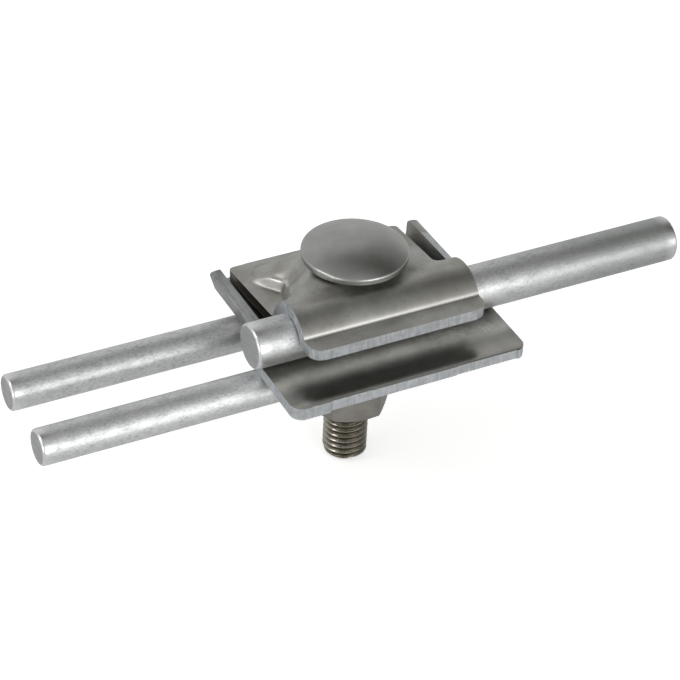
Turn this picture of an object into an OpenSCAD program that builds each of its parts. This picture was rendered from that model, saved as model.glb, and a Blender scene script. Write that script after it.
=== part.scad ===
// Rod clamp for lightning protection: three round rods held in a stack of pressed
// sheet plates by one mushroom-head square-neck bolt with a spring washer and a nut.
// The origin is the middle of the front conductor's left end face. X runs along the
// rods, Y to the rear and Z up along the bolt, towards its head.

/* [Rods] */
// diameter of the two lower conductors (mm)
conductor_d = 8; // [7.8:0.1:8]
// diameter of the upper air terminal rod (mm)
terminal_d = 10; // [9.8:0.1:10]
// length of each conductor (mm)
conductor_length = 100; // [90:1:160]
// length of the air terminal rod (mm)
terminal_length = 101.8; // [90:0.1:160]
// distance from the bolt axis to each rod axis, across the rods (mm)
rod_offset = 9.6; // [9.6:0.1:10]
// how far the front conductor reaches to the left of the bolt axis (mm)
front_reach = 76; // [60:0.1:90]
// how far the rear conductor reaches to the left of the bolt axis (mm)
rear_reach = 75.2; // [60:0.1:90]
// how far the air terminal rod's stub reaches to the left of the bolt axis (mm)
stub_reach = 28.8; // [23:0.1:32]
// chamfer on the sawn rod ends (mm)
rod_chamfer = 0.45; // [0.2:0.05:0.6]

/* [Plates] */
// sheet thickness of the upper two plates (mm)
sheet = 2.5; // [2.3:0.1:2.7]
// distance from the bolt axis to the plates' middle, along the rods (mm)
plate_shift = 0.8; // [0:0.1:1]
// width of the middle plate's front flange, along the rods (mm)
flange_width = 54.8; // [52:0.1:58]
// how far the middle plate reaches in front of the bolt axis (mm)
flange_reach = 27; // [25:0.5:30]
// how far the plates reach behind the bolt axis (mm)
rear_edge = 21; // [20:0.5:23]
// corner radius of the front flange (mm)
flange_corner = 2.6; // [1.5:0.1:4]
// diameter of the clearance holes in the middle and bottom plates (mm)
hole_d = 11; // [10.6:0.1:12]

/* [Side lugs] */
// half distance between the folds of the two lugs (mm)
lug_fold = 21.4; // [21.2:0.1:22]
// lean of the lugs outwards from upright (degrees)
lug_lean = 17.7; // [10:0.1:22]
// inner bend radius at the lugs' feet (mm)
lug_bend = 0.8; // [0.5:0.1:1.2]
// height of the straight part of a lug (mm)
lug_height = 4.35; // [3:0.05:6]
// front end of the lugs, measured from the bolt axis (mm)
lug_front = -3.6; // [-4:0.1:-2]
// rear end of the lugs, measured from the bolt axis (mm)
lug_rear = 19; // [18:0.1:20]
// radius of the lugs' rear top corner (mm)
lug_corner = 0.8; // [0.5:0.1:3]
// rounding of the lugs' outer top edge (mm)
lug_edge = 0.8; // [0.4:0.1:1.2]
// width of the relief notch between a lug and the front flange (mm)
notch = 2; // [1.5:0.1:3]

/* [Top plate] */
// width of the top plate, along the rods (mm)
top_width = 41; // [39:0.1:41.6]
// clearance between the arch and the rod, on the radius (mm)
arch_play = 0.4; // [0.3:0.05:0.5]
// sideways offset of the arch from the rod axis (mm)
arch_offset = 0.3; // [0:0.05:0.3]
// height of the lip's underside over the middle plate (mm)
lip_height = 6.1; // [5.5:0.1:6.4]
// rise of the lip towards its front edge (degrees)
lip_rise = 0.5; // [0.5:0.5:6]
// front edge of the lip, measured from the bolt axis (mm)
lip_reach = 21.2; // [20.5:0.1:22]
// fall of the rear pad towards its rear edge (degrees)
pad_fall = 5.6; // [4:0.1:7]
// tight fold radius above the lip (mm)
lip_fold = 0.8; // [0.4:0.1:1.2]
// fold radius between the arch and the rear pad (mm)
pad_fold = 1.6; // [1:0.1:2.5]
// plan corner radius of the lip (mm)
lip_corner = 3; // [2:0.1:4]
// plan corner radius at the rear edge (mm)
rear_corner = 1.3; // [1:0.1:3]

/* [Raised seat] */
// height of the raised seat over the arch's crown (mm)
seat_rise = 1.6; // [1.4:0.1:2.2]
// radius of the raised seat under the bolt head (mm)
seat_r = 7.4; // [7.2:0.1:8]

// distance of the seat's front corners from the plate's sides (mm)
shoulder_inset = 1.6; // [1.4:0.1:2.4]
// distance of the seat's waist from the plate's sides (mm)
waist_inset = 6.4; // [5.6:0.1:7]
// distance of the seat's waist behind the arch's axis (mm)
waist_back = 14.2; // [13:0.1:15]
// depth of the seat's waist under the arch's crown (mm)
waist_drop = 4.6; // [4:0.1:5]
// distance of the ridges' feet from the plate's sides (mm)
foot_inset = 2.6; // [2.2:0.1:3.4]
// distance of the ridges' feet from the plate's rear edge (mm)
foot_back = 6.2; // [5:0.1:7]
// turn from the arch's crown to the rear ends of the seat's shoulders (degrees)
shoulder_turn = 38; // [30:1:42]
// width of the level strip behind the seat (mm)
rear_strip = 2.6; // [2:0.1:3.5]

/* [Bottom plate] */
// sheet thickness of the bottom plate (mm)
bottom_sheet = 3; // [2.8:0.1:3.2]
// length of the bottom plate, along the rods (mm)
bottom_width = 38; // [34:0.5:38]
// radial room between the rolled edges and the conductors (mm)
roll_play = 0.1; // [0.1:0.05:0.3]
// how far the rolled edges rise round the conductors, past level (degrees)
roll_rise = 20; // [0:5:40]

/* [Bolt and nut] */
// thread diameter (mm)
thread_d = 10; // [9.9:0.1:10]
// diameter of the plain shank (mm)
shank_d = 9; // [8.8:0.1:9]
// diameter of the mushroom head (mm)
head_d = 23.1; // [22:0.1:24.5]
// height of the mushroom head (mm)
head_h = 4.9; // [4.5:0.1:6]
// height of the head's straight rim (mm)
rim_h = 1.4; // [0.8:0.1:1.8]
// width of the square neck (mm)
neck_w = 10; // [9.8:0.1:10]
// height of the square neck (mm)
neck_h = 5; // [4:0.1:5]
// length of the bolt below the conductors' axes (mm)
bolt_drop = 32; // [30:0.5:40]
// thread length (mm)
thread_length = 26; // [22:1:27]
// chamfer at the bolt's tip (mm)
tip_chamfer = 1.1; // [0.6:0.1:1.2]
// width across the nut's flats (mm)
nut_flats = 17; // [16:0.5:17]
// height of the nut (mm)
nut_h = 8.4; // [8:0.1:9]
// how far the nut is turned about the bolt (degrees)
nut_turn = -10.5; // [-30:0.5:30]
// outer diameter of the spring washer (mm)
washer_d = 18; // [17:0.5:18.5]
// thickness of the spring washer (mm)
washer_t = 2.5; // [2:0.1:2.6]
// width of the slit in the spring washer (mm)
washer_slit = 1.2; // [0.8:0.1:2]

/* [Hidden] */

conductor_r = conductor_d / 2;
terminal_r = terminal_d / 2;
mid_under = conductor_r;
mid_top = mid_under + sheet;
rod_z = mid_top + terminal_r;
arch_ri = terminal_r + arch_play;
arch_ro = arch_ri + sheet;
arch_y = -rod_offset - arch_offset;
arch_z = rod_z - sqrt(pow(arch_play, 2) - pow(arch_offset, 2));
crown = arch_z + arch_ro;
seat = crown + seat_rise;
bottom_top = -conductor_r;
bottom_under = bottom_top - bottom_sheet;
washer_under = bottom_under - washer_t;
nut_under = washer_under - nut_h;
neck_bottom = seat - neck_h;
left = plate_shift - top_width / 2;
right = plate_shift + top_width / 2;
// how far a shape that is trimmed afterwards runs past its trim
spare = top_width / 4;
body_colour = [0.56, 0.56, 0.54];
rod_colour = [0.75, 0.77, 0.79];

// turns a point into a frame tilted by an angle, and back
function tilt(p, a) = [p[0] * cos(a) + p[1] * sin(a), -p[0] * sin(a) + p[1] * cos(a)];
function untilt(p, a) = [p[0] * cos(a) - p[1] * sin(a), p[0] * sin(a) + p[1] * cos(a)];

// fold between the arch's front flank and the lip
lip_root = tilt([-lip_reach + 3.8, mid_top + lip_height], -lip_rise);
lip_arch = tilt([arch_y, arch_z], -lip_rise);
lip_top_v = lip_root[1] + sheet;
lip_c_v = lip_top_v + lip_fold;
lip_c_u = lip_arch[0] - sqrt(pow(arch_ro + lip_fold, 2) - pow(lip_c_v - lip_arch[1], 2));
lip_c = untilt([lip_c_u, lip_c_v], -lip_rise);

// fold between the arch's rear flank and the pad
pad_root = tilt([rear_edge, mid_top], -pad_fall);
pad_arch = tilt([arch_y, arch_z], -pad_fall);
pad_top_v = pad_root[1] + sheet;
pad_c_v = pad_top_v + pad_fold;
pad_c_u = pad_arch[0] + sqrt(pow(arch_ro + pad_fold, 2) - pow(pad_c_v - pad_arch[1], 2));
pad_c = untilt([pad_c_u, pad_c_v], -pad_fall);

// raised seat: its corners to one side of the middle, mirrored for the other side;
// each drops a little below the pad's surface, so that the seat always grows out of it
seat_half = top_width / 2;
shoulder = [seat_half - shoulder_inset, arch_y + 1.4, crown];
shoulder_rear = [seat_half - shoulder_inset - 1, arch_y + arch_ro * sin(shoulder_turn),
    arch_z + arch_ro * cos(shoulder_turn)];
waist = [seat_half - waist_inset, arch_y + waist_back, crown - waist_drop];
foot_far = [seat_half - foot_inset, rear_edge - foot_back, mid_top + sheet * 1.2];
foot_rear = [seat_half - 2 * foot_inset, rear_edge - rear_strip, mid_top + sheet * 1.08];
foot_z = mid_top - 0.5;

module place() translate([front_reach, rod_offset, 0]) children();

module along_x(from, to)
    translate([from, 0, 0]) rotate([90, 0, 90]) linear_extrude(to - from) children();

module rod(r, length)
    rotate([0, 90, 0]) rotate_extrude($fn = 96)
        polygon([[0, 0], [r - rod_chamfer, 0], [r, rod_chamfer], [r, length - rod_chamfer],
            [r - rod_chamfer, length], [0, length]]);

// everything under the top plate's upper surface, or under its lower one when d is the sheet
module under(d) {
    r = arch_ro - d;
    translate([arch_y, arch_z]) circle(r, $fn = 128);
    translate([arch_y - r, 0]) square([2 * r, arch_z]);
    polygon([untilt([pad_c_u, pad_top_v - d], -pad_fall), [pad_c[0], 0], [arch_y, 0], [arch_y, arch_z],
        pad_c]);
    polygon([untilt([pad_c_u, pad_top_v - d], -pad_fall), [pad_c[0], 0], [rear_edge + spare, 0],
        untilt([pad_root[0] + spare, pad_top_v - d], -pad_fall)]);
    polygon([untilt([lip_c_u, lip_top_v - d], -lip_rise), [lip_c[0], 0], [arch_y, 0], [arch_y, arch_z],
        lip_c]);
    polygon([untilt([lip_c_u, lip_top_v - d], -lip_rise), [lip_c[0], 0], [-lip_reach - spare, 0],
        untilt([lip_root[0] - spare, lip_top_v - d], -lip_rise)]);
}

// the hollow side of both folds, taken off what lies under the surface
module folds(d) {
    translate(lip_c) circle(lip_fold + d, $fn = 96);
    translate(pad_c) circle(pad_fold + d, $fn = 96);
}

module profile(d)
    difference() {
        under(d);
        folds(d);
    }

// a small block at one corner of the raised seat, moved inwards by x and y and down by z
module at_corner(p, side, x, y, z)
    translate([plate_shift + side * (p[0] - x), p[1] - y, p[2] - z]) cube(0.02, center = true);

module seat_disc(r, z) translate([0, 0, seat - z - 0.01]) cylinder(0.01, r, r, $fn = 48);

// the raised seat falls to the arch in front and runs out in two ridges behind;
// the inner one, a sheet smaller, hollows it out
module rise(x, y, z, r) {
    hull() {
        seat_disc(r, z);
        for (side = [-1, 1], p = [shoulder, shoulder_rear, waist]) {
            at_corner(p, side, x, 0, z);
            at_corner([p[0], p[1], foot_z], side, x, 0, z);
        }
    }
    hull() {
        seat_disc(r, z);
        for (side = [-1, 1], p = [waist, foot_far, foot_rear]) {
            at_corner(p, side, x, y, z);
            at_corner([p[0], p[1], foot_z], side, x, y, z);
        }
    }
}

module top_outline() {
    translate([left + lip_corner, -lip_reach + lip_corner]) circle(lip_corner, $fn = 64);
    translate([right - lip_corner, -lip_reach + lip_corner]) circle(lip_corner, $fn = 64);
    translate([left + rear_corner, rear_edge - rear_corner]) circle(rear_corner, $fn = 64);
    translate([right - rear_corner, rear_edge - rear_corner]) circle(rear_corner, $fn = 64);
    translate([left + lip_corner, -lip_reach]) square([top_width - 2 * lip_corner, lip_corner + 1]);
    translate([left, -lip_reach + lip_corner])
        square([top_width, lip_reach + rear_edge - lip_corner - rear_corner]);
    translate([left + rear_corner, rear_edge - rear_corner - 1])
        square([top_width - 2 * rear_corner, rear_corner + 1]);
}

module top_plate()
    color(body_colour) place() difference() {
        intersection() {
            union() {
                along_x(left - 1, right + 1) profile(0);
                rise(0, 0, 0, seat_r);
            }
            translate([0, 0, mid_top - 1]) linear_extrude(seat) top_outline();
        }
        along_x(left - 2, right + 2) profile(sheet);
        rise(sheet * 0.95, sheet * 0.35, sheet * 1.15, seat_r - sheet / 4);
        translate([0, 0, seat]) cube([neck_w + 0.3, neck_w + 0.3, 4 * sheet], center = true);
    }

module lug_section() {
    polygon([[0, mid_under], [lug_fold, mid_under], [lug_fold, mid_top], [0, mid_top]]);
    translate([lug_fold, mid_top + lug_bend]) difference() {
        intersection() {
            circle(lug_bend + sheet, $fn = 96);
            polygon([[0, 0], [0, -spare], [spare, -spare],
                [spare * cos(lug_lean - 1), -spare * sin(lug_lean - 1)]]);
        }
        circle(lug_bend, $fn = 64);
    }
    translate([lug_fold, mid_top + lug_bend]) rotate(-lug_lean)
        translate([lug_bend, 0]) {
            square([sheet, lug_height - lug_edge]);
            square([sheet - lug_edge, lug_height]);
            translate([sheet - lug_edge, lug_height - lug_edge]) circle(lug_edge, $fn = 48);
        }
}

module lug_outline() {
    high = mid_top + lug_bend * (1 - sin(lug_lean)) + lug_height * cos(lug_lean);
    translate([lug_front, mid_under - 1])
        square([lug_rear - lug_front - lug_corner, high + spare - mid_under]);
    translate([lug_front, mid_under - 1])
        square([lug_rear - lug_front, high - lug_corner - mid_under + 1]);
    translate([lug_rear - lug_corner, high - lug_corner]) circle(lug_corner, $fn = 64);
}

module lug()
    intersection() {
        translate([0, lug_front, 0]) rotate([90, 0, 0]) mirror([0, 0, 1])
            linear_extrude(lug_rear - lug_front) lug_section();
        along_x(lug_fold / 4, lug_fold + spare) lug_outline();
    }

module middle_outline() {
    half = flange_width / 2;
    flange_back = lug_front - notch;
    for (s = [-1, 1]) {
        translate([s * (half - flange_corner), -flange_reach + flange_corner])
            circle(flange_corner, $fn = 64);
        translate([s * (lug_fold - 1), rear_edge - 1]) circle(1, $fn = 32);
    }
    translate([-half + flange_corner, -flange_reach]) square([flange_width - 2 * flange_corner, 4]);
    translate([-half, -flange_reach + flange_corner])
        square([flange_width, flange_back + flange_reach - flange_corner]);
    translate([-lug_fold, flange_back - 1]) square([2 * lug_fold, rear_edge - flange_back]);
    translate([-lug_fold + 1, rear_edge - 2]) square([2 * lug_fold - 2, 2]);
}

module middle_plate()
    color(body_colour) place() difference() {
        translate([plate_shift, 0, 0]) union() {
            translate([0, 0, mid_under]) linear_extrude(sheet) middle_outline();
            lug();
            mirror([1, 0, 0]) lug();
        }
        translate([0, 0, mid_under - 1]) cylinder(sheet + 2, d = hole_d, $fn = 96);
    }

module roll(s) {
    ri = conductor_r + roll_play;
    translate([s * rod_offset, roll_play]) difference() {
        intersection() {
            circle(ri + bottom_sheet, $fn = 128);
            polygon([[0, 0], [0, -spare], [s * spare, -spare], [s * spare, spare * sin(roll_rise)],
                [s * spare * cos(roll_rise), spare * sin(roll_rise)]]);
        }
        circle(ri, $fn = 128);
    }
}

module bottom_plate()
    color(body_colour) place() difference() {
        along_x(plate_shift - bottom_width / 2, plate_shift + bottom_width / 2) {
            translate([-rod_offset, bottom_under]) square([2 * rod_offset, bottom_sheet]);
            roll(-1);
            roll(1);
        }
        translate([0, 0, bottom_under - 1]) cylinder(bottom_sheet + 2, d = hole_d, $fn = 96);
    }

module head() {
    dome_h = head_h - rim_h;
    dome_r = (pow(head_d / 2, 2) + pow(dome_h, 2)) / (2 * dome_h);
    rotate_extrude($fn = 128) {
        square([head_d / 2, rim_h]);
        intersection() {
            translate([0, rim_h + dome_h - dome_r]) circle(dome_r, $fn = 192);
            translate([0, rim_h]) square([head_d / 2, dome_h + 1]);
        }
    }
}

module bolt()
    color(body_colour) place() {
        translate([0, 0, seat]) head();
        translate([0, 0, neck_bottom + neck_h / 2]) cube([neck_w, neck_w, neck_h], center = true);
        thread_top = thread_length - bolt_drop;
        rotate_extrude($fn = 96) polygon([[0, -bolt_drop], [thread_d / 2 - tip_chamfer, -bolt_drop],
            [thread_d / 2, tip_chamfer - bolt_drop], [thread_d / 2, thread_top - 0.5],
            [shank_d / 2, thread_top], [shank_d / 2, seat], [0, seat]]);
    }

module spring_washer()
    color(body_colour) place() translate([0, 0, washer_under]) difference() {
        cylinder(washer_t, d = washer_d, $fn = 96);
        translate([0, 0, -1]) cylinder(washer_t + 2, d = thread_d + 0.4, $fn = 96);
        rotate(120) translate([0, -washer_slit / 2, -1]) cube([washer_d, washer_slit, washer_t + 2]);
    }

module nut()
    color(body_colour) place() translate([0, 0, nut_under]) rotate(nut_turn) difference() {
        corner = nut_flats / sqrt(3);
        cone = (corner - nut_flats / 2 + 0.1) * tan(30);
        intersection() {
            cylinder(nut_h, r = corner, $fn = 6);
            rotate_extrude($fn = 96) polygon([[0, 0], [nut_flats / 2 - 0.1, 0], [corner, cone],
                [corner, nut_h - cone], [nut_flats / 2 - 0.1, nut_h], [0, nut_h]]);
        }
        translate([0, 0, -1]) cylinder(nut_h + 2, d = thread_d + 0.1, $fn = 96);
        translate([0, 0, -0.01]) cylinder(0.61, r1 = thread_d / 2 + 0.65, r2 = thread_d / 2, $fn = 96);
        translate([0, 0, nut_h - 0.6]) cylinder(0.61, r1 = thread_d / 2, r2 = thread_d / 2 + 0.65, $fn = 96);
    }

module air_terminal_rod()
    color(rod_colour) place() translate([-stub_reach, -rod_offset, rod_z]) rod(terminal_r, terminal_length);

module conductor_front()
    color(rod_colour) place() translate([-front_reach, -rod_offset, 0]) rod(conductor_r, conductor_length);

module conductor_rear()
    color(rod_colour) place() translate([-rear_reach, rod_offset, 0]) rod(conductor_r, conductor_length);

top_plate();
middle_plate();
bottom_plate();
bolt();
spring_washer();
nut();
air_terminal_rod();
conductor_front();
conductor_rear();
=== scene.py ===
# %% [markdown]
# An air terminal rod clamp: pressed stainless plates, one mushroom-head bolt, and three round
# aluminium rods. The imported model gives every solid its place. This script swaps each solid for
# a finer mesh in the same place, and gives each piece its metal.

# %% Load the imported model
import cmath
import math
import bmesh
import bpy
from mathutils import Matrix, Vector
from mathutils.bvhtree import BVHTree
from mathutils.geometry import intersect_point_line


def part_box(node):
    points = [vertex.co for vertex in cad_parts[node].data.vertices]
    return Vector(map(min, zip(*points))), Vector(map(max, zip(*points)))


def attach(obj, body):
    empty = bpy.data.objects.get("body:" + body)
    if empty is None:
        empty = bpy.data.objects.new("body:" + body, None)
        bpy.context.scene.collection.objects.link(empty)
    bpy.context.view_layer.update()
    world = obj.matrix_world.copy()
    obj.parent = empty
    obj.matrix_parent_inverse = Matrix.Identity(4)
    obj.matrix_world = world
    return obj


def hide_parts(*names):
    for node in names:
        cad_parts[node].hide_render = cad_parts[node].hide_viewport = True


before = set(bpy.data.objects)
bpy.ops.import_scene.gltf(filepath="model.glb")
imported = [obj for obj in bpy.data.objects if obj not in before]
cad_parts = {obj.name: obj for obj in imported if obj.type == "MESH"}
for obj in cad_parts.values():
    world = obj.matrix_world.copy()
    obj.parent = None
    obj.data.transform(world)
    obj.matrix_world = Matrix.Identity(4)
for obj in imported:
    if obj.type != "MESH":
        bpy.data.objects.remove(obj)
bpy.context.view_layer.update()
print("nodes:", sorted(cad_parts))

# %% [markdown]
# The bolt's axis and the rods' height place everything, so they are read from the solids.
# Pieces are drawn in millimetres from the bolt's axis, because plates and threads are specified
# in millimetres, and one helper moves each finished mesh into the frame, in metres.

# %% The clamp's own reference points, in millimetres
MM = 0.001
bolt_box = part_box("bolt")
bolt_x = (bolt_box[0][0] + bolt_box[1][0]) / 2 / MM
bolt_y = (bolt_box[0][1] + bolt_box[1][1]) / 2 / MM
to_frame = Matrix.Translation((bolt_x * MM, bolt_y * MM, 0)) @ Matrix.Scale(MM, 4)


def box_mm(node):
    """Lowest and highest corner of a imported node, in millimetres from the bolt's axis."""
    low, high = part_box(node)
    shift = Vector((bolt_x, bolt_y, 0))
    return low / MM - shift, high / MM - shift


bolt_low, bolt_high = box_mm("bolt")
plate_low, plate_high = box_mm("top_plate")
mid_low, mid_high = box_mm("middle_plate")
rod_low, rod_high = box_mm("air_terminal_rod")
tip_z = bolt_low.z
head_top = bolt_high.z
head_r = bolt_high.x
rod_y = (rod_low.y + rod_high.y) / 2
rod_z = (rod_low.z + rod_high.z) / 2
rod_r = (rod_high.z - rod_low.z) / 2
print(f"tip {tip_z:.2f}, head top {head_top:.2f}, head radius {head_r:.2f}")
print(f"upper rod at y {rod_y:.2f}, z {rod_z:.2f}, radius {rod_r:.2f}")

# %% [markdown]
# A product photograph is taken with a long lens. The camera below has the place, the turn and
# the focal length that a fit to the rods' outlines gave, so a render can be laid over the photo.

# %% The camera at the photograph's angle
EYE = (-213.486, -391.369, 331.181)
EYE_RIGHT = (0.893899, -0.446292, 0.042053)
EYE_UP = (0.237527, 0.551127, 0.7999)
EYE_BACK = (-0.380166, -0.705041, 0.598658)
FILM_WIDTH, FOCAL_LENGTH = 36.0, 135.97


def make_camera():
    """Stands at EYE, in millimetres from the bolt's axis, with its own right, up and back."""
    data = bpy.data.cameras.new("photo_camera")
    data.sensor_width = FILM_WIDTH
    data.lens = FOCAL_LENGTH
    data.clip_start = 0.01
    data.clip_end = 20.0
    camera = bpy.data.objects.new("photo_camera", data)
    bpy.context.scene.collection.objects.link(camera)
    turn = Matrix((EYE_RIGHT, EYE_UP, EYE_BACK)).transposed().to_4x4()
    camera.matrix_world = Matrix.Translation(to_frame @ Vector(EYE)) @ turn
    bpy.context.scene.camera = camera
    return camera


camera = make_camera()
print("camera stands at", [round(v, 3) for v in camera.location])

# %% [markdown]
# Every metal here is a sum of a few noise patterns. A shader is a graph of small nodes, and this
# class lets the graph be written as plain arithmetic, one line for one visible effect.

# %% A class that writes shader maths as Python
class Socket:
    """One output of a shader node, with the arithmetic that the materials need."""

    def __init__(self, tree, link):
        self.tree = tree
        self.link = link

    def node(self, kind, settings=None, output=0, **values):
        """Adds a node. Inputs are named by their label, or as i0, i1 and so on by their place."""
        made = self.tree.nodes.new(kind)
        for name, value in (settings or {}).items():
            setattr(made, name, value)
        for name, value in values.items():
            key = int(name[1:]) if name[1:].isdigit() else name.replace("_", " ")
            if isinstance(value, Socket):
                self.tree.links.new(value.link, made.inputs[key])
            else:
                made.inputs[key].default_value = value
        return Socket(self.tree, made.outputs[output])

    def maths(self, operation, a, b):
        return self.node("ShaderNodeMath", {"operation": operation}, i0=a, i1=b)

    def __add__(self, other):
        return self.maths("ADD", self, other)

    def __radd__(self, other):
        return self.maths("ADD", other, self)

    def __sub__(self, other):
        return self.maths("SUBTRACT", self, other)

    def __mul__(self, other):
        return self.maths("MULTIPLY", self, other)

    def smooth(self, low, high):
        """Goes smoothly from 0 at low to 1 at high, also where high is the smaller one."""
        return self.node("ShaderNodeMapRange", {"interpolation_type": "SMOOTHSTEP"}, Value=self,
                         From_Min=low, From_Max=high)

    def blend(self, a, b):
        """Colour a where this value is 0, and colour b where it is 1."""
        return self.node("ShaderNodeMix", {"data_type": "RGBA"}, output=2, i0=self, i6=a, i7=b)

    def split(self, axis):
        return self.node("ShaderNodeSeparateXYZ", output=axis, i0=self)

    def stretch(self, x, y, z):
        return self.node("ShaderNodeVectorMath", {"operation": "MULTIPLY"}, i0=self, i1=(x, y, z))

    def noise(self, scale, detail=3.0, roughness=0.55):
        return self.node("ShaderNodeTexNoise", Vector=self, Scale=scale, Detail=detail,
                         Roughness=roughness)

    def place(self):
        """The point in the piece's own coordinates, in metres."""
        return self.node("ShaderNodeTexCoord", output=3)

    def painted(self, name):
        """A value that the mesh carries at each vertex."""
        return self.node("ShaderNodeAttribute", {"attribute_name": name}, output=2)

    def bump(self, strength, distance):
        return self.node("ShaderNodeBump", Height=self, Strength=strength, Distance=distance)


def start_tree(tree):
    tree.nodes.clear()
    return Socket(tree, None)


def finish_tree(socket, kind):
    out = socket.tree.nodes.new(kind)
    socket.tree.links.new(socket.link, out.inputs["Surface"])


print("shader class ready")

# %% [markdown]
# Metal shows what stands round it, so the room gives most of the light. Pale walls give satin
# steel its middle tones. A dark band overhead and a dark patch high at the right give the head
# and the arch their dark zones. Three soft boxes, in front, low at the left and high at the left,
# give the bright spots. Their directions were found from the reflections on the head and the
# rods. The camera itself sees plain white.

# %% The room and its lamp
WALL_FRONT = (0.62, 0.62, 0.61, 1)
WALL_REAR = (0.80, 0.80, 0.79, 1)
CEILING = (0.08, 0.08, 0.07, 1)
WHITE = (1, 1, 1, 1)
ROOM_LIGHT = 0.85
PANEL_PLACE, PANEL_AIM = (250, -900, 170), (0, 0, 5)
PANEL_SIZE, PANEL_POWER = (0.80, 0.16), 0.9


def make_world():
    """The room, with each part of it placed by the direction in which it is seen."""
    world = bpy.data.worlds.new("pale_room")
    bpy.context.scene.world = world
    world.use_nodes = True
    s = start_tree(world.node_tree)
    way = s.node("ShaderNodeTexCoord", output=0)

    def toward(x, y, z):
        """How far a direction points one way: 1 straight at it, 0 across, -1 away."""
        aim = Vector((x, y, z)).normalized()
        settings = {"operation": "DOT_PRODUCT"}
        return s.node("ShaderNodeVectorMath", settings, output=1, i0=way, i1=aim)

    walls = way.split(1).smooth(-0.5, 0.5).blend(WALL_FRONT, WALL_REAR)
    across = toward(0.384, 0.907, -0.174)
    band = across.smooth(0.40, 0.12) * across.smooth(-0.38, -0.12)
    high = way.split(2).smooth(0.40, 0.66)
    left_fade = way.split(0).smooth(-0.9, 0.6) * 0.5 + 0.5
    room = (band * high * left_fade).blend(walls, CEILING)
    room = (toward(0.75, 0.05, 0.66).smooth(0.78, 0.95) * 0.6).blend(room, CEILING)
    reach = way.split(0).smooth(0.51, 0.40) * 0.8 + 0.2
    front = toward(0.27, -0.95, 0.01).smooth(0.85, 0.93) * reach
    room = front.blend(room, (3.6, 3.6, 3.57, 1))
    room = toward(-0.91, -0.39, 0.06).smooth(0.955, 0.985).blend(room, (6.0, 6.0, 6.0, 1))
    room = toward(-0.72, 0.15, 0.62).smooth(0.958, 0.986).blend(room, (5.0, 5.0, 5.0, 1))
    by_camera = s.node("ShaderNodeLightPath", output=0)
    white = s.node("ShaderNodeBackground", Color=WHITE, Strength=1.0)
    lit = s.node("ShaderNodeBackground", Color=room, Strength=ROOM_LIGHT)
    both = s.node("ShaderNodeMixShader", i0=by_camera, i1=lit, i2=white)
    finish_tree(both, "ShaderNodeOutputWorld")


def make_front_panel():
    """A wide, low lamp in front of the clamp, aimed at a point near its middle."""
    data = bpy.data.lights.new("front_panel", "AREA")
    data.shape = "RECTANGLE"
    data.size, data.size_y = PANEL_SIZE
    data.energy = PANEL_POWER
    lamp = bpy.data.objects.new("front_panel", data)
    bpy.context.scene.collection.objects.link(lamp)
    lamp.location = to_frame @ Vector(PANEL_PLACE)
    way = to_frame @ Vector(PANEL_AIM) - lamp.location
    lamp.rotation_euler = way.to_track_quat("-Z", "Y").to_euler()


make_world()
make_front_panel()
print("world and lamp made")

# %% [markdown]
# The clamp stands over a pale table, which lights the undersides of the plates. For the camera
# the table also glows a little, so that it runs into the white background without an edge.

# %% The floor under the bolt's tip
FLOOR_GAP = 0.0002


def make_floor():
    mesh = bmesh.new()
    bmesh.ops.create_grid(mesh, x_segments=2, y_segments=2, size=3.0)
    bmesh.ops.translate(mesh, verts=mesh.verts, vec=(0, 0, tip_z * MM - FLOOR_GAP))
    data = bpy.data.meshes.new("floor")
    mesh.to_mesh(data)
    mesh.free()
    floor = bpy.data.objects.new("floor", data)
    bpy.context.scene.collection.objects.link(floor)
    paint = bpy.data.materials.new("pale_floor")
    paint.use_nodes = True
    s = start_tree(paint.node_tree)
    matt = s.node("ShaderNodeBsdfDiffuse", Color=(0.93, 0.93, 0.93, 1))
    glow = s.node("ShaderNodeEmission", Color=WHITE, Strength=0.55)
    both = s.node("ShaderNodeAddShader", i0=matt, i1=glow)
    by_camera = s.node("ShaderNodeLightPath", output=0)
    seen = s.node("ShaderNodeMixShader", i0=by_camera, i1=matt, i2=both)
    finish_tree(seen, "ShaderNodeOutputMaterial")
    data.materials.append(paint)


make_floor()
bpy.context.scene.view_settings.view_transform = "Standard"
print("floor made")

# %% [markdown]
# Stainless sheet leaves the rolling mill with a fine grain along its length, and a press leaves
# cloudy marks and small scratches. The grain goes into the roughness and a faint bump, the
# clouds into the colour. What slid over the die is burnished and gets a painted highlight, and the
# middle plate's front is glossier, with a painted dark reflection. The mesh carries both as
# painted values.

# %% Satin stainless sheet
def finish_metal(build):
    """A material named after the function that works out its colour, roughness and bump."""
    metal = bpy.data.materials.new(build.__name__)
    metal.use_nodes = True
    s = start_tree(metal.node_tree)
    colour, rough, bump = build(s)
    shader = s.node("ShaderNodeBsdfPrincipled", Base_Color=colour, Metallic=1.0, Roughness=rough,
                    Normal=bump)
    finish_tree(shader, "ShaderNodeOutputMaterial")
    return metal


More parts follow.
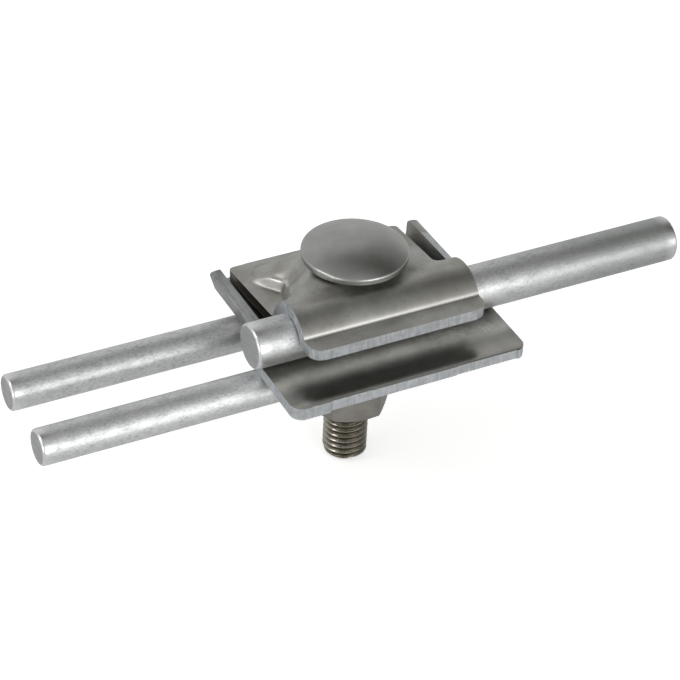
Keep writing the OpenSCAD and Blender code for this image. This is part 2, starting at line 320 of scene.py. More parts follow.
def satin_sheet(s):
    place = s.place()
    burnish_and_highlight = s.painted("burnish_and_highlight")
    gloss_and_dark_reflection = s.painted("gloss_and_dark_reflection")
    grain = place.stretch(70, 2600, 2600).noise(1.0, 4.0, 0.6)
    cloud = place.noise(120.0, 5.0, 0.62)
    smear = place.stretch(90, 330, 330).noise(1.0, 4.0, 0.6).smooth(0.35, 0.65)
    fleck = place.stretch(900, 1300, 1300).noise(1.0, 2.0, 0.5).smooth(0.63, 0.74)
    colour = cloud.smooth(0.32, 0.68).blend((0.335, 0.33, 0.305, 1), (0.47, 0.47, 0.455, 1))
    colour = (smear * 0.25).blend(colour, (0.40, 0.385, 0.35, 1))
    colour = (fleck * 0.5).blend(colour, (0.24, 0.23, 0.21, 1))
    # Painted highlight: burnished folds and rims are lightened in colour as well as made smoother.
    colour = (burnish_and_highlight * 0.7).blend(colour, (0.80, 0.79, 0.76, 1))
    # Painted dark reflection on the middle plate's front, which is also glossier.
    colour = (gloss_and_dark_reflection * 0.35).blend(colour, (0.30, 0.29, 0.255, 1))
    rough = 0.33 + grain * 0.10 + cloud * 0.10 - burnish_and_highlight * 0.27 - gloss_and_dark_reflection * 0.20
    return colour, rough, (grain + cloud * 1.5).bump(0.22, 0.00003)


sheet_metal = finish_metal(satin_sheet)
print(sheet_metal.name, "made")

# %% [markdown]
# A sheared edge is torn, not rolled: short upright lines, pits and a bluer tone. The top plate's
# left rim lies in shade in the gap beside the lug; the mesh marks it, and it gets painted shade.
# The left lug's skin was dragged over the bending tool, so its streaks run along its bend.

# %% Sheared edge of the sheet, and the bent skin of the left lug
def sheared_edge(s):
    place = s.place()
    gap_shade = s.painted("gap_shade")
    lines = place.stretch(1700, 1700, 260).noise(1.0, 4.0, 0.65)
    cloud = place.stretch(500, 500, 900).noise(1.0, 4.0, 0.65)
    pits = cloud.smooth(0.60, 0.70)
    worn = (lines * 0.5 + cloud * 0.5).smooth(0.35, 0.65)
    colour = worn.blend((0.44, 0.46, 0.475, 1), (0.64, 0.665, 0.69, 1))
    colour = (pits * 0.5).blend(colour, (0.27, 0.27, 0.26, 1))
    streak = place.stretch(300, 120, 2600).noise(1.0, 4.0, 0.7).smooth(0.35, 0.65)
    # Painted shade: the top plate's left rim, in the gap beside the lug, is nearly black.
    gap_shade_colour = streak.blend((0.035, 0.032, 0.028, 1), (0.17, 0.16, 0.14, 1))
    colour = gap_shade.blend(colour, gap_shade_colour)
    rough = 0.30 + cloud * 0.3
    return colour, rough, (lines * 0.6 + cloud).bump(0.4, 0.00008)


def bent_skin(s):
    place = s.place()
    streak = place.stretch(900, 90, 900).noise(1.0, 4.0, 0.65)
    cloud = place.noise(330.0, 4.0, 0.6)
    worn = (streak * 0.6 + cloud * 0.4).smooth(0.36, 0.64)
    colour = worn.blend((0.22, 0.225, 0.22, 1), (0.40, 0.41, 0.41, 1))
    rough = 0.30 + streak * 0.2
    return colour, rough, (streak + cloud * 0.5).bump(0.35, 0.00006)


edge_metal = finish_metal(sheared_edge)
lug_metal = finish_metal(bent_skin)
print(edge_metal.name, "and", lug_metal.name, "made")

# %% [markdown]
# Aluminium rod is drawn through a die, which leaves faint lines along it, and handling leaves
# nicks and grey speckle. Its rounded end edges are burnished by the saw and the drum, and get a
# painted highlight. The upper rod, unlike the other two, is darker towards its far end, as in the
# photograph.

# %% Drawn aluminium rod, and its sawn ends
def drawn_aluminium(s):
    place = s.place()
    mottle = place.stretch(260, 520, 520).noise(1.0, 5.0, 0.70)
    speckle = place.stretch(1300, 2700, 2700).noise(1.0, 3.0, 0.75)
    drawn = place.stretch(40, 2200, 2200).noise(1.0, 3.0, 0.6)
    nick = (speckle * 0.5 + mottle * 0.5).smooth(0.54, 0.68)
    worn = (speckle * 0.6 + mottle * 0.4).smooth(0.38, 0.60)
    colour = worn.blend((0.78, 0.79, 0.795, 1), (0.60, 0.61, 0.62, 1))
    colour = (nick * 0.55).blend(colour, (0.26, 0.27, 0.275, 1))
    burnish_and_highlight = s.painted("burnish_and_highlight")
    far_darker = s.painted("far_darker")
    # Darker in colour towards the upper rod's far end.
    colour = (far_darker * 0.62).blend(colour, (0.30, 0.315, 0.305, 1))
    # Painted highlight on the rounded end edges.
    colour = (burnish_and_highlight * 0.6).blend(colour, (0.85, 0.86, 0.87, 1))
    rough = 0.37 + mottle * 0.14 + speckle * 0.12 - burnish_and_highlight * 0.22
    return colour, rough, (speckle + mottle * 0.7 + drawn * 0.3).bump(0.45, 0.00010)


def sawn_aluminium(s):
    place = s.place()
    marks = place.stretch(400, 350, 2300).noise(1.0, 3.0, 0.6)
    cloud = place.noise(300.0, 3.0, 0.6)
    colour = marks.smooth(0.3, 0.7).blend((0.40, 0.41, 0.41, 1), (0.52, 0.53, 0.53, 1))
    rough = 0.45 + cloud * 0.15
    return colour, rough, marks.bump(0.35, 0.00005)


rod_metal = finish_metal(drawn_aluminium)
sawn_metal = finish_metal(sawn_aluminium)
print(rod_metal.name, "and", sawn_metal.name, "made")

# %% [markdown]
# A cold-headed bolt is smoother than sheet, and its head mirrors the room. Its rolled thread has
# bright crests, and dirt and shade in the roots. The nut is a little darker and rougher.

# %% Cold-formed bolt, thread and nut
def formed_steel(s):
    place = s.place()
    cloud = place.noise(160.0, 4.0, 0.6)
    fine = place.noise(1900.0, 3.0, 0.6)
    colour = cloud.smooth(0.3, 0.7).blend((0.36, 0.36, 0.35, 1), (0.43, 0.43, 0.42, 1))
    rough = 0.25 + fine * 0.08 + cloud * 0.06
    return colour, rough, fine.bump(0.15, 0.00002)


def thread_steel(s):
    root = s.painted("root")
    fine = s.place().noise(1700.0, 3.0, 0.6)
    crest = fine.smooth(0.3, 0.7).blend((0.36, 0.335, 0.285, 1), (0.50, 0.475, 0.42, 1))
    colour = root.blend(crest, (0.085, 0.075, 0.055, 1))
    rough = 0.16 + fine * 0.14 + root * 0.15
    return colour, rough, fine.bump(0.2, 0.00003)


def nut_steel(s):
    place = s.place()
    cloud = place.noise(220.0, 4.0, 0.6)
    fine = place.noise(1500.0, 3.0, 0.6)
    colour = cloud.smooth(0.3, 0.7).blend((0.27, 0.255, 0.235, 1), (0.36, 0.345, 0.32, 1))
    rough = 0.33 + fine * 0.10 + cloud * 0.08
    return colour, rough, fine.bump(0.25, 0.00003)


bolt_metal = finish_metal(formed_steel)
nut_metal = finish_metal(nut_steel)
thread_metal = finish_metal(thread_steel)
print(bolt_metal.name, nut_metal.name, "and", thread_metal.name, "made")

# %% [markdown]
# Every piece ends the same way: its mesh moves from millimetres round the bolt into the frame,
# gets its metals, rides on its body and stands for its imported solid.

# %% Helpers that finish a piece
WELD, FLAT_TURN = 0.002, 0.6
SHARP_TURN, SOFT_TURN = 35, 10
EASED_STEPS = 3


def put_in(mesh, name, metals, node, body):
    """A mesh in millimetres from the bolt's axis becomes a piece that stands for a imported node."""
    bmesh.ops.transform(mesh, matrix=to_frame, verts=mesh.verts)
    data = bpy.data.meshes.new(name)
    mesh.to_mesh(data)
    mesh.free()
    for metal in metals:
        data.materials.append(metal)
    piece = bpy.data.objects.new(name, data)
    bpy.context.scene.collection.objects.link(piece)
    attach(piece, body)
    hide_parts(node)
    print(name, len(data.polygons), "faces")
    return piece


def revolve(mesh, line, axis, steps):
    """A half outline, as complex numbers, spun about an axis through the origin."""
    chain = [mesh.verts.new((point.real, 0, point.imag)) for point in line]
    edges = [mesh.edges.new(pair) for pair in zip(chain, chain[1:])]
    bmesh.ops.spin(mesh, geom=chain + edges, axis=axis, cent=(0, 0, 0), steps=steps,
                   angle=math.tau, use_merge=True)
    bmesh.ops.remove_doubles(mesh, verts=mesh.verts, dist=0.001)


def shade(mesh, rounded=()):
    """Smooth faces, with sharp edges past an angle, and where a flat face meets a rounded one."""
    soft = set(rounded)
    for face in mesh.faces:
        face.smooth = True
    for edge in mesh.edges:
        if len(edge.link_faces) == 2:
            inside = sum(face in soft for face in edge.link_faces)
            limit = SOFT_TURN if inside == 1 else SHARP_TURN
            edge.smooth = inside == 2 or edge.calc_face_angle(0) < math.radians(limit)


def packed_copy(node):
    """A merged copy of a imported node's mesh, in millimetres from the bolt's axis."""
    mesh = bmesh.new()
    mesh.from_mesh(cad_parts[node].data)
    bmesh.ops.transform(mesh, matrix=to_frame.inverted(), verts=mesh.verts)
    bmesh.ops.remove_doubles(mesh, verts=mesh.verts, dist=WELD)
    bmesh.ops.dissolve_limit(mesh, angle_limit=math.radians(FLAT_TURN), verts=mesh.verts,
                             edges=mesh.edges)
    return mesh


def ease_edges(mesh, width, least=40):
    """Rounds every edge that turns more than an angle in degrees, and shades the result."""
    limit = math.radians(least)
    edges = [e for e in mesh.edges if len(e.link_faces) == 2 and e.calc_face_angle(0) > limit]
    made = bmesh.ops.bevel(mesh, geom=edges, offset=width, offset_type="OFFSET", affect="EDGES",
                           segments=EASED_STEPS, profile=0.5, material=-1, clamp_overlap=True)
    shade(mesh, rounded=made["faces"])


def cut_across(mesh, axis, place):
    """Adds edges where a plane at one place on an axis meets the mesh."""
    normal = Vector((axis == 0, axis == 1, axis == 2))
    bmesh.ops.bisect_plane(mesh, geom=mesh.verts[:] + mesh.edges[:] + mesh.faces[:],
                           plane_co=normal * place, plane_no=normal)


def ramp(value, low, high):
    """Goes smoothly from 0 at low to 1 at high."""
    part = min(max((value - low) / (high - low), 0), 1)
    return part * part * (3 - 2 * part)


def hill(value, width):
    """A smooth hill, 1 where the value is 0 and about a third at its width."""
    return math.exp(-((value / width) ** 2))


def arc(centre, radius, start, stop, count):
    """Points of an arc in a plane, as complex numbers, with angles in degrees."""
    return [centre + cmath.rect(radius, math.radians(start + (stop - start) * k / count))
            for k in range(count + 1)]


def angle_of(point, centre):
    return math.degrees(cmath.phase(point - centre))


def straight(a, b, count):
    return [a + (b - a) * k / count for k in range(count + 1)]


print("helpers ready")

# %% [markdown]
# The rods are drawn, straightened and sawn to length. The saw leaves a flat face, and a file or
# a tumbling drum rounds its edge. A half outline spun about the rod's axis gives both.

# %% The three rods
SAWN_EDGE = 0.7
ROD_RINGS, ROD_SIDES = 40, 96
TOUCH = 0.01
DARKER_LEAST, DARKER_FROM, DARKER_TO = 0.2, 20, 60


def rod_outline(radius, length):
    """Half outline of a sawn rod, from the middle of one end face to that of the other."""
    corner = complex(SAWN_EDGE, radius - SAWN_EDGE)
    near = arc(corner, SAWN_EDGE, 180, 90, 6)
    far = [complex(length - p.real, p.imag) for p in reversed(near)]
    span = length - 2 * SAWN_EDGE
    body = [complex(SAWN_EDGE + span * k / ROD_RINGS, radius) for k in range(1, ROD_RINGS)]
    face = corner.imag / 2
    return [0j, complex(0, face)] + near + body + far + [complex(length, face), complex(length, 0)]


def make_rod(node):
    low, high = box_mm(node)
    radius = (high.z - low.z) / 2
    length = high.x - low.x
    mesh = bmesh.new()
    revolve(mesh, rod_outline(radius, length), (1, 0, 0), ROD_SIDES)
    bmesh.ops.recalc_face_normals(mesh, faces=mesh.faces)
    for face in mesh.faces:
        face.material_index = 1 if abs(face.normal.x) > 0.99 else 0
    burnish_and_highlight = mesh.verts.layers.float.new("burnish_and_highlight")
    far_darker = mesh.verts.layers.float.new("far_darker")
    for vert in mesh.verts:
        from_end = min(vert.co.x, length - vert.co.x)
        from_axis = math.hypot(vert.co.y, vert.co.z)
        at_edge = from_end < SAWN_EDGE + TOUCH and from_axis > radius - SAWN_EDGE - TOUCH
        # The rounded end edges get burnish and a painted highlight.
        vert[burnish_and_highlight] = float(at_edge)
        if node == "air_terminal_rod":
            far = ramp(low.x + vert.co.x, DARKER_FROM, DARKER_TO)
            vert[far_darker] = DARKER_LEAST + (1 - DARKER_LEAST) * far
    shade(mesh)
    centre = (low + high) / 2
    bmesh.ops.translate(mesh, verts=mesh.verts, vec=(low.x, centre.y, centre.z))
    put_in(mesh, node + "_finished", (rod_metal, sawn_metal), node, "clamp")


for name in ("air_terminal_rod", "conductor_front", "conductor_rear"):
    make_rod(name)

# %% [markdown]
# One press stroke turns flat sheet into the top plate. Seen along the rods, its section is a lip,
# a tight fold, an arch that follows the upper rod, a second fold and a pad that slopes down to
# the rear. Folds are arcs that touch the arch and the flat parts, as a press tool makes them, so
# only their radius and the slopes are chosen, and the touching points are worked out.

# %% Profile of the top plate, across the rods
SHEET = 2.5
ROD_PLAY = 0.4
ARCH_R = rod_r + ROD_PLAY + SHEET
ARCH = complex(rod_y - 0.3, rod_z - 0.265)
LIP_FRONT, PAD_REAR = plate_low.y, plate_high.y
MID_TOP = mid_low.z + SHEET
LIP_Y, LIP_RISE = -17.4, 6.1
LIP_SLOPE, PAD_SLOPE = -0.5, -5.6
LIP_FOLD_R, PAD_FOLD_R = 0.8, 1.6
LIP_ROWS, LIP_FOLD_ROWS, ARCH_ROWS, PAD_FOLD_ROWS, PAD_ROWS = 12, 7, 60, 8, 105


def fold_beside_arch(side, under_point, slope, radius):
    """Centre of the fold between the arch and a flat part, and where it touches both."""
    turn = cmath.exp(1j * math.radians(slope))
    level = (under_point / turn).imag + SHEET
    hub = ARCH / turn
    across = math.sqrt((ARCH_R + radius) ** 2 - (level + radius - hub.imag) ** 2)
    centre = complex(hub.real + side * across, level + radius) * turn
    on_flat = centre - 1j * turn * radius
    on_arch = ARCH + (centre - ARCH) * ARCH_R / (ARCH_R + radius)
    return centre, on_flat, on_arch, turn


def plate_profile():
    """The upper surface from the lip's front edge to the pad's rear edge."""
    lip_under = complex(LIP_Y, MID_TOP + LIP_RISE)
    pad_under = complex(PAD_REAR, MID_TOP)
    lip_c, lip_flat, lip_arch, lip_turn = fold_beside_arch(-1, lip_under, LIP_SLOPE, LIP_FOLD_R)
    pad_c, pad_flat, pad_arch, pad_turn = fold_beside_arch(1, pad_under, PAD_SLOPE, PAD_FOLD_R)
    lip_end = lip_flat - lip_turn * (lip_flat.real - LIP_FRONT) / lip_turn.real
    pad_end = pad_flat + pad_turn * (PAD_REAR - pad_flat.real) / pad_turn.real
    line = straight(lip_end, lip_flat, LIP_ROWS)
    turns = angle_of(lip_flat, lip_c), angle_of(lip_arch, lip_c)
    line += arc(lip_c, LIP_FOLD_R, *turns, LIP_FOLD_ROWS)[1:]
    turns = angle_of(lip_arch, ARCH), angle_of(pad_arch, ARCH)
    line += arc(ARCH, ARCH_R, *turns, ARCH_ROWS)[1:]
    turns = angle_of(pad_arch, pad_c), angle_of(pad_flat, pad_c)
    line += arc(pad_c, PAD_FOLD_R, *turns, PAD_FOLD_ROWS)[1:]
    line += straight(pad_flat, pad_end, PAD_ROWS)[1:]
    return line


profile = plate_profile()
print("profile points:", len(profile), "highest", round(max(p.imag for p in profile), 2))

# %% [markdown]
# The sheet's upper side is a grid. Its rows follow the profile, its columns follow the rod, and
# the rounded plan corners narrow the first and last rows. The raised seat under the bolt's head
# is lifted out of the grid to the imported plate's own surface. Its flank widens away from its
# waist, each waist has a saddle, and its right side sags. Then it is smoothed, as metal flows in
# a die. Thickness comes last, so that the sheet is equally thick everywhere.

# %% The top plate
PLATE_HALF = (plate_high.x - plate_low.x) / 2
PLATE_MIDDLE = (plate_low.x + plate_high.x) / 2
COLUMNS = 170
LIP_CORNER, REAR_CORNER = 3.0, 1.3
CURL, CURL_X, CURL_Y = 0.5, (11, 20), (-3, 4)
GAP_SHADE_X, GAP_SHADE_Y = -19, -1.5
FOLD_SHINE = 0.45
WAIST_X, WAIST_Y = PLATE_HALF - 6.9, ARCH.real + 16.5
FLANK_OUT, FLANK_SPREAD = 0.9, 0.17
SADDLE, SADDLE_REACH = 2.0, 3.6
SAG, SAG_X = 1.1, (5, 13)
SEAT_HEART, RIM_INSIDE, RIM_INWARD = Vector((0, 2)), 0.2, 0.03
RIM_SHINE, RIM_SHINE_OUT, RIM_SHINE_REACH = 0.8, 0.42, 4.5
SMOOTH_TURNS, SMOOTH_ALL_TURNS = 24, 3
CALM_FRONT, CALM_RIGHT, CALM_REAR, CALM_INSIDE = 8, 8, 5, 1.5
NECK_SIDE, NECK_PLAY = 10, 0.15
NECK_HOLE = NECK_SIDE / 2 + NECK_PLAY
PLATE_EASE, PLATE_EASE_TURN = 0.25, 55


def half_width(y):
    """Half the plate's width at one place, less near its rounded plan corners."""
    half = PLATE_HALF
    for radius, distance in ((LIP_CORNER, y - LIP_FRONT), (REAR_CORNER, PAD_REAR - y)):
        if distance < radius:
            half -= radius - math.sqrt(max(radius ** 2 - (radius - distance) ** 2, 0))
    return half


def press_grid(mesh, burnish_and_highlight, gap_shade):
    """Bends the flat grid along the profile, and marks the fold's burnish and painted highlight, and
    the rim's painted shade.
    """
    rows = len(profile) - 1
    bright = profile[LIP_ROWS + LIP_FOLD_ROWS]
    for vert in mesh.verts:
        point = profile[round((vert.co.y + 1) / 2 * rows)]
        x = PLATE_MIDDLE + vert.co.x * half_width(point.real)
        curl = CURL * ramp(x - PLATE_MIDDLE, *CURL_X) * ramp(point.real, *CURL_Y)
        vert.co = (x, point.real, point.imag + curl)
        # The fold gets burnish and a painted highlight; the left rim in the gap gets painted shade.
        vert[burnish_and_highlight] = hill(abs(point - bright), FOLD_SHINE)
        vert[gap_shade] = float(point.real > GAP_SHADE_Y and x < PLATE_MIDDLE + GAP_SHADE_X)


def seat_outline():
    """Plan corners of the raised seat, once round: front, shoulder, waist, ear and rear."""
    side = [(PLATE_HALF - 1.6, ARCH.real + 1.4), (PLATE_HALF - 3.2, ARCH.real + 5.4),
            (WAIST_X, WAIST_Y),
            (PLATE_HALF - 2.6, PAD_REAR - 6.2), (PLATE_HALF - 5.2, PAD_REAR - 2.6)]
    right = [Vector((PLATE_MIDDLE + x, y)) for x, y in side]
    return right + [Vector((2 * PLATE_MIDDLE - p.x, p.y)) for p in reversed(right)]


def near_outline(point, outline):
    """Signed distance to the seat's outline, positive inside, and the outline's nearest point."""
    best, place = math.inf, point
    sides = list(zip(outline, outline[1:] + outline[:1]))
    for a, b in sides:
        part = intersect_point_line(point, a, b)[1]
        foot = a.lerp(b, min(max(part, 0), 1))
        if (point - foot).length < best:
            best, place = (point - foot).length, foot
    crossings = sum((a.y > point.y) != (b.y > point.y)
                    and point.x < a.x + (point.y - a.y) * (b.x - a.x) / (b.y - a.y)
                    for a, b in sides)
    return (best if crossings % 2 else -best), place


def packed_height(tree, spot):
    """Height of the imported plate's upper side at one place in plan."""
    hit = tree.ray_cast(Vector((*spot, head_top + 9)), Vector((0, 0, -1)))[0]
    return hit.z if hit else plate_high.z


def raise_seat(mesh, outline, burnish_and_highlight):
    """Lifts the seat out of the grid, burnishes its rim at the waists with a painted highlight, and
    lists what rose.
    """
    packed = packed_copy("top_plate")
    tree = BVHTree.FromBMesh(packed)
    packed.free()
    lifted = []
    for vert in mesh.verts:
        spot = vert.co.xy
        distance, nearest = near_outline(spot, outline)
        flank = FLANK_OUT + FLANK_SPREAD * max(spot.y - WAIST_Y, (WAIST_Y - spot.y) / 3)
        lift = min(max(1 + distance / flank, 0), 1)
        if lift == 0:
            continue
        well_inside = nearest.lerp(SEAT_HEART, RIM_INWARD)
        top = packed_height(tree, spot if distance > RIM_INSIDE else well_inside)
        from_waist = math.hypot(abs(spot.x - PLATE_MIDDLE) - WAIST_X, spot.y - WAIST_Y)
        sag = SADDLE * hill(from_waist, SADDLE_REACH)
        sag += SAG * ramp(spot.x - PLATE_MIDDLE, *SAG_X)
        rise = max(top - sag - vert.co.z, 0)
        vert.co.z += rise * lift * lift * (3 - 2 * lift)
        # Burnish with a painted highlight on the seat's rim near the waists.
        polished = hill(distance - 0.1, RIM_SHINE_OUT) * hill(from_waist, RIM_SHINE_REACH)
        vert[burnish_and_highlight] = max(vert[burnish_and_highlight], RIM_SHINE * polished)
        lifted.append(vert)
    return lifted


def smooth_seat(mesh, lifted, outline):
    """Smooths all that rose a little, and then all but its crisp left and rear rim a lot."""
    inner = [vert for vert in lifted if not vert.is_boundary]
    calm = [vert for vert in inner if vert.co.y < ARCH.real + CALM_FRONT
            or (vert.co.x > PLATE_MIDDLE + CALM_RIGHT and vert.co.y < PAD_REAR - CALM_REAR)
            or near_outline(vert.co.xy, outline)[0] > CALM_INSIDE]
    for turn in range(SMOOTH_TURNS):
        group = inner if turn < SMOOTH_ALL_TURNS else calm
        bmesh.ops.smooth_vert(mesh, verts=group, factor=0.5, use_axis_z=True)


def punch_neck_hole(mesh):
    """A square hole for the bolt's neck."""
    for axis in (0, 1):
        for place in (NECK_HOLE, -NECK_HOLE):
            cut_across(mesh, axis, place)
    centres = [(face, face.calc_center_median()) for face in mesh.faces]
    hole = [face for face, centre in centres if max(abs(centre.x), abs(centre.y)) < NECK_HOLE]
    bmesh.ops.delete(mesh, geom=hole, context="FACES")


def thicken(piece):
    """Gives the pressed skin its thickness downwards, with a sheared rim and eased edges."""
    thick = piece.modifiers.new("thickness", "SOLIDIFY")
    thick.thickness = SHEET * MM
    thick.offset = -1
    thick.material_offset_rim = 1
    ease = piece.modifiers.new("eased_edges", "BEVEL")
    ease.width = PLATE_EASE * MM
    ease.segments = EASED_STEPS
    ease.limit_method = "ANGLE"
    ease.angle_limit = math.radians(PLATE_EASE_TURN)
    ease.harden_normals = True


def make_top_plate():
    mesh = bmesh.new()
    bmesh.ops.create_grid(mesh, x_segments=COLUMNS, y_segments=len(profile) - 1, size=1)
    burnish_and_highlight = mesh.verts.layers.float.new("burnish_and_highlight")
    gap_shade = mesh.verts.layers.float.new("gap_shade")
    press_grid(mesh, burnish_and_highlight, gap_shade)
    outline = seat_outline()
    lifted = raise_seat(mesh, outline, burnish_and_highlight)
    smooth_seat(mesh, lifted, outline)
    punch_neck_hole(mesh)
    for face in mesh.faces:
        face.smooth = True
    metals = (sheet_metal, edge_metal)
    piece = put_in(mesh, "top_plate_pressed", metals, "top_plate", "clamp")
    thicken(piece)


make_top_plate()

# %% [markdown]
# The middle plate is blanked, so that all its edges are sheared faces, and its two lugs are bent
# up to keep the top plate from turning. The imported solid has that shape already. Its copy gets
# what the press adds: a front edge that rolls over into the die and has small steps, as a worn
# punch leaves, and a right lug that grows thicker and higher to its rear, with a small step on
# its outer side. A sheared face is rougher and bluer than the rolled skin, and the left lug is
# dulled by the bending tool.

# %% The middle plate
DIE_ROLL, DIE_DROP, DIE_CUTS = 2.3, 0.22, 5
LEFT_LUG_X, RIGHT_LUG_X = -22.5, 24
LUG_FRONT = -3.6
LUG_IN, LUG_OUT, LUG_RISE = 1.0, 0.3, 0.5
LUG_STEP, LUG_STEP_Y = 0.35, 13.2
LUG_SKIN, LUG_EDGE = 2.4, 0.3
STEP_HALF = 0.12
# The front edge's runs from left to right: where each ends, how far it is set back, and how far
# its lower side is drawn down
SHEAR_RUNS = ((-18.2, 0.0, 0.55), (-8.6, 0.25, 0.2), (11.4, 0.1, 0.0), (math.inf, 0.3, 0.0))
CORNER_REACH = 4
UPRIGHT, ACROSS = 0.1, 0.9
MIDDLE_EASE, BOTTOM_EASE = 0.22, 0.25


def score(mesh):
    """Adds edges where the die roll, the lug's step and the front edge's runs need them."""
    for k in range(DIE_CUTS):
        cut_across(mesh, 1, mid_low.y + DIE_ROLL * (k + 1) / DIE_CUTS)
    for place in (LUG_STEP_Y - LUG_EDGE, LUG_STEP_Y + LUG_EDGE):
        cut_across(mesh, 1, place)
    for run in SHEAR_RUNS[:-1]:
        cut_across(mesh, 0, run[0] - STEP_HALF)
        cut_across(mesh, 0, run[0] + STEP_HALF)


def shear_front(mesh):
    """Rolls the front edge's upper side over, and steps its runs and its lower side."""
    corner_end, _, corner_drop = SHEAR_RUNS[0]
    for vert in mesh.verts:
        from_front = vert.co.y - mid_low.y
        into = 1 - from_front / DIE_ROLL
        if into > 0 and abs(vert.co.z - MID_TOP) < 0.01:
            vert.co.z -= DIE_DROP * into ** 2
        lower = vert.co.z < MID_TOP - 1
        if from_front < 0.01:
            back, drop = next(run[1:] for run in SHEAR_RUNS if vert.co.x < run[0])
            vert.co.y += back
            vert.co.z -= drop * lower
        elif vert.co.x < corner_end and from_front < CORNER_REACH and lower:
            vert.co.z -= corner_drop * (1 - from_front / CORNER_REACH)


def spread_right_lug(mesh):
    """Thickens and raises the right lug towards its rear, and steps its outer side outwards."""
    for vert in mesh.verts:
        if vert.co.x > RIGHT_LUG_X and vert.co.z > MID_TOP + 2:
            far = (vert.co.y - LUG_FRONT) / (mid_high.y - LUG_FRONT)
            outer = ramp(vert.co.x, mid_high.x - LUG_SKIN, mid_high.x - LUG_EDGE)
            vert.co.z += LUG_RISE * far
            vert.co.x += ((LUG_IN + LUG_OUT) * outer - LUG_IN) * far
            vert.co.x += LUG_STEP * outer * (vert.co.y > LUG_STEP_Y)


def metal_of(face):
    """Which metal a face of the middle plate has: 0 the sheet, 1 a sheared edge, 2 bent skin."""
    centre = face.calc_center_median()
    if centre.x < LEFT_LUG_X and centre.y > -4 and centre.z > MID_TOP:
        return 2
    lug_top = centre.x > RIGHT_LUG_X and centre.z > MID_TOP + 3 and face.normal.z > 0.7
    upright = abs(face.normal.z) < UPRIGHT and centre.z < MID_TOP
    return 1 if upright or abs(face.normal.y) > ACROSS or lug_top else 0


def make_middle_plate():
    mesh = packed_copy("middle_plate")
    score(mesh)
    shear_front(mesh)
    spread_right_lug(mesh)
    mesh.normal_update()
    for face in mesh.faces:
        face.material_index = metal_of(face)
    ease_edges(mesh, MIDDLE_EASE)
    # The middle plate's front is glossier and gets a painted dark reflection.
    gloss_and_dark_reflection = mesh.verts.layers.float.new("gloss_and_dark_reflection")
    for vert in mesh.verts:
        vert[gloss_and_dark_reflection] = float(vert.co.y < 0)
    metals = (sheet_metal, edge_metal, lug_metal)
    put_in(mesh, "middle_plate_blanked", metals, "middle_plate", "clamp")


make_middle_plate()

# %% [markdown]
# The bottom plate is rolled from a strip into a trough, with one curved edge under each
# conductor. Its two sheared ends get the edge's metal.

# %% The bottom plate
def make_bottom_plate():
    mesh = packed_copy("bottom_plate")
    for face in mesh.faces:
        face.material_index = 1 if abs(face.normal.x) > ACROSS else 0
    ease_edges(mesh, BOTTOM_EASE)
    metals = (sheet_metal, edge_metal)
    put_in(mesh, "bottom_plate_rolled", metals, "bottom_plate", "clamp")


make_bottom_plate()

# %% [markdown]
# The bolt is cold-headed from wire: a low dome with a rounded rim, a square neck that keeps it
# from turning in the top plate, a reduced shank, and a rolled thread. The dome and the core are
# spun outlines, and the rim's arc touches the dome's arc. The thread is one ridge, spun along
# its pitch and cut back to a cone at the tip.

# %% The bolt
HEAD_H, RIM_H, RIM_R, UNDER_R = 4.9, 1.4, 0.62, 0.35
HEAD_SIDES, CORE_SIDES = 128, 64
SEAT = head_top - HEAD_H
PITCH, THREAD_R, CORE_R = 1.5, 4.95, 4.12
TURN_STEPS = 40
SHANK_R, THREAD_TOP, TIP_CHAMFER = 4.5, -6.0, 1.1
ROOT_IN, CORE_CHAMFER, CORE_TAPER, THREAD_END = 0.15, 0.45, 0.5, 0.4
NECK_H, OVERLAP = 5, 0.05


def head_outline():
    """Half outline of the mushroom head, from its flat underside to the top of its dome."""
    dome_h = HEAD_H - RIM_H
    dome_r = (head_r ** 2 + dome_h ** 2) / (2 * dome_h)
    dome_c = complex(0, head_top - dome_r)
    rim_x = head_r - RIM_R
    rim_c = dome_c + complex(rim_x, math.sqrt((dome_r - RIM_R) ** 2 - rim_x ** 2))
    touch = angle_of(rim_c, dome_c)
    under_c = complex(head_r - UNDER_R, SEAT + UNDER_R)
    line = [complex(0, SEAT), complex(head_r * 0.6, SEAT)] + arc(under_c, UNDER_R, -90, 0, 5)
    return line + arc(rim_c, RIM_R, 0, touch, 7) + arc(dome_c, dome_r, touch, 90, 36)[1:]


def core_outline():
    """Half outline of the bolt inside its thread, from the tip to inside the head."""
    inside_head = SEAT + 0.5
    return [complex(0, tip_z), complex(THREAD_R - TIP_CHAMFER - ROOT_IN, tip_z),
            complex(CORE_R, tip_z + CORE_CHAMFER), complex(CORE_R, THREAD_TOP - CORE_TAPER),
            complex(SHANK_R, THREAD_TOP), complex(SHANK_R, inside_head), complex(0, inside_head)]


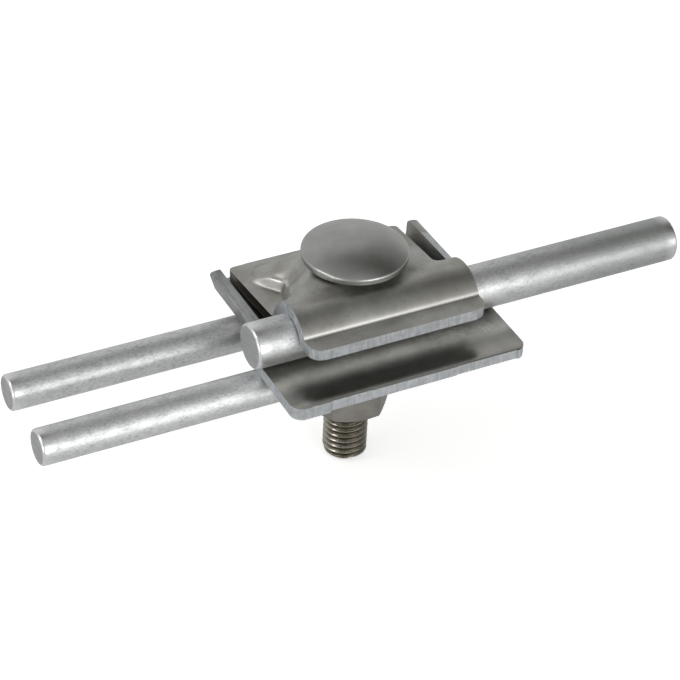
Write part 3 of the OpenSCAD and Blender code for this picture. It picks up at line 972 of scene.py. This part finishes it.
def add_thread(mesh):
    """One ridge of thread, spun about Z from the tip to below the plain shank."""
    turns = (THREAD_TOP - THREAD_END - tip_z) / PITCH
    steps = round(turns * TURN_STEPS)
    start = tip_z - 0.1
    half = [(CORE_R - ROOT_IN, 0.70), (CORE_R, 0.62), (CORE_R + 0.35, 0.40),
            (THREAD_R - 0.12, 0.19), (THREAD_R, 0.06)]
    section = [(r, -h) for r, h in half] + half[::-1]
    verts = [mesh.verts.new((r, 0, start + h)) for r, h in section]
    edges = [mesh.edges.new((a, b)) for a, b in zip(verts, verts[1:] + verts[:1])]
    spun = bmesh.ops.spin(mesh, geom=verts + edges, axis=(0, 0, 1), cent=(0, 0, 0), steps=steps,
                          angle=turns * math.tau, dvec=(0, 0, turns * PITCH / steps),
                          use_merge=False)
    last = [e for e in spun["geom_last"] if isinstance(e, bmesh.types.BMEdge)]
    bmesh.ops.contextual_create(mesh, geom=edges)
    bmesh.ops.contextual_create(mesh, geom=last)


def cut_tip(mesh):
    """Cuts the thread back to the tip's plane and to a cone of 45 degrees."""
    for vert in mesh.verts:
        reach = math.hypot(vert.co.x, vert.co.y)
        vert.co.z = max(vert.co.z, tip_z + 0.01)
        room = THREAD_R - TIP_CHAMFER + vert.co.z - tip_z
        if reach > room:
            vert.co.x *= room / reach
            vert.co.y *= room / reach


def make_bolt():
    mesh = bmesh.new()
    add_thread(mesh)
    cut_tip(mesh)
    revolve(mesh, core_outline(), (0, 0, 1), CORE_SIDES)
    neck = bmesh.ops.create_cube(mesh, size=1)["verts"]
    bmesh.ops.scale(mesh, vec=(NECK_SIDE, NECK_SIDE, NECK_H), verts=neck)
    bmesh.ops.translate(mesh, vec=(0, 0, SEAT - NECK_H / 2 + OVERLAP), verts=neck)
    head = bmesh.new()
    revolve(head, head_outline(), (0, 0, 1), HEAD_SIDES)
    data = bpy.data.meshes.new("head")
    head.to_mesh(data)
    head.free()
    mesh.from_mesh(data)
    bpy.data.meshes.remove(data)
    bmesh.ops.recalc_face_normals(mesh, faces=mesh.faces)
    for face in mesh.faces:
        face.material_index = 1 if face.calc_center_median().z < THREAD_TOP else 0
    shade(mesh)
    root = mesh.verts.layers.float.new("root")
    for vert in mesh.verts:
        reach = math.hypot(vert.co.x, vert.co.y)
        vert[root] = 1 - ramp(reach, CORE_R + 0.1, CORE_R + 0.6)
    put_in(mesh, "bolt_cold_headed", (bolt_metal, thread_metal), "bolt", "clamp")


make_bolt()

# %% [markdown]
# The spring washer is coiled from wire and cut, and the nut is cold-formed. Both solids
# already have their true shape, so their copies only get eased edges. Each rides on its own
# body, because the washer travels down with the nut and only the nut turns.

# %% The spring washer and the nut
def make_small_part(node, name, width):
    mesh = packed_copy(node)
    ease_edges(mesh, width, least=25)
    put_in(mesh, name, (nut_metal,), node, node)


make_small_part("spring_washer", "spring_washer_split", 0.2)
make_small_part("nut", "nut_hexagon", 0.18)
